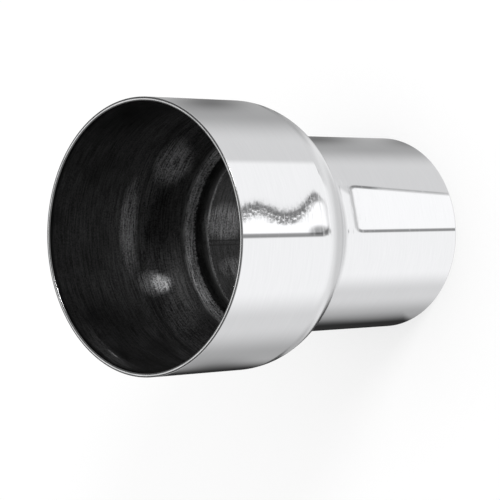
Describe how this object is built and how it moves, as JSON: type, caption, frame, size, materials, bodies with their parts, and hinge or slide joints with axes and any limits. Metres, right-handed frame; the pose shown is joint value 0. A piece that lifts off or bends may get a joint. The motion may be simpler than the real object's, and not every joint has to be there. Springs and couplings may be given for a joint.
{
  "type": "exhaust pipe reducer",
  "caption": "Straight steel pipe reducer with a wide end, a rounded shoulder and neck, and a narrower end, for joining two exhaust pipes of different size.",
  "frame": {"origin": "centre of the small end's rim, which the part stands on", "axes": "+Z along the pipe's axis, up from the small end to the large end; the weld seam in the bore is on the +Y side"},
  "size_m": [0.1016, 0.1016, 0.136],
  "materials": {
    "polished_steel": "polished outside with fine lines round the pipe, bright deburred rims, dark unpolished bore"
  },
  "bodies": {
    "root": {"reducer": "polished_steel"}
  },
  "joints": []
}
